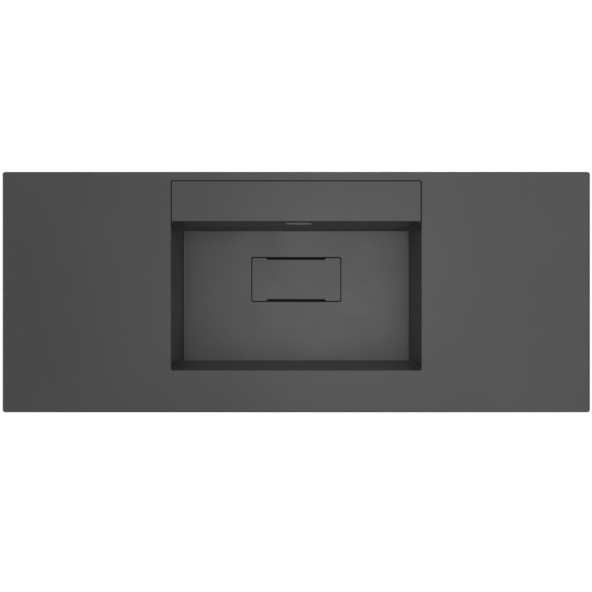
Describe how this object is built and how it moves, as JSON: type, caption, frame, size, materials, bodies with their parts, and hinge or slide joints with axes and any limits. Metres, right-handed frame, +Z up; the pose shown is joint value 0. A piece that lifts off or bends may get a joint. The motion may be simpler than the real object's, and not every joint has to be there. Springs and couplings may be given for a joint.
{
  "type": "washbasin top",
  "caption": "Wide wall-hung washbasin top in dark grey solid surface, with a straight-sided bowl, a flush drain cover and a lift-off ledge cover behind.",
  "frame": {"origin": "centre of the four wall-bolt holes, on the wall plane", "axes": "+X to the right of a person standing at the washbasin, +Y towards the wall, +Z up"},
  "size_m": [1.22, 0.5, 0.207],
  "materials": {
    "solid_surface": "matt, sanded",
    "plywood": "raw",
    "galvanised_steel": "galvanised",
    "stainless_steel": "satin",
    "chrome_plate": "polished",
    "brass": "machined",
    "zinc_plated_steel": "zinc plated",
    "silicone": "translucent grey",
    "black_rubber": "matt"
  },
  "bodies": {
    "washbasin": {"deck": "solid_surface", "front_apron": "solid_surface", "left_apron": "solid_surface", "right_apron": "solid_surface", "basin_bowl": "solid_surface", "ledge_tray": "solid_surface", "blank_badge": "stainless_steel", "waste_body": "chrome_plate", "waste_top_gasket": "black_rubber", "waste_under_gasket": "black_rubber", "waste_slip_washer": "stainless_steel", "waste_back_nut": "brass", "rear_rail": "plywood", "front_rail": "plywood", "left_rib": "plywood", "right_rib": "plywood", "left_support_panel": "plywood", "right_support_panel": "plywood", "apron_corner_blocks": "plywood", "rail_screws": "zinc_plated_steel", "left_wall_bracket": "galvanised_steel", "right_wall_bracket": "galvanised_steel", "bracket_pads": "black_rubber", "threaded_inserts": "brass", "bracket_washers": "zinc_plated_steel", "bracket_screws": "zinc_plated_steel"},
    "ledge_lid": {"ledge_cover": "solid_surface", "ledge_cover_bumpers": "silicone", "ledge_cover_battens": "solid_surface"},
    "drain_lid": {"drain_cover": "solid_surface", "drain_cover_feet": "silicone"},
    "strainer": {"hair_strainer": "stainless_steel", "strainer_knob": "chrome_plate"}
  },
  "joints": [
    {"name": "ledge_cover_lift", "type": "slide", "parent": "washbasin", "child": "ledge_lid", "axis": [0, 0, 1], "range_m": [0, 0.12]},
    {"name": "drain_cover_lift", "type": "slide", "parent": "washbasin", "child": "drain_lid", "axis": [0, 0, 1], "range_m": [0, 0.26]},
    {"name": "strainer_lift", "type": "slide", "parent": "washbasin", "child": "strainer", "axis": [0, 0, 1], "range_m": [0, 0.156]}
  ],
  "couplings": [
    {"joint": "strainer_lift", "follows": "drain_cover_lift", "ratio": 0.6}
  ]
}
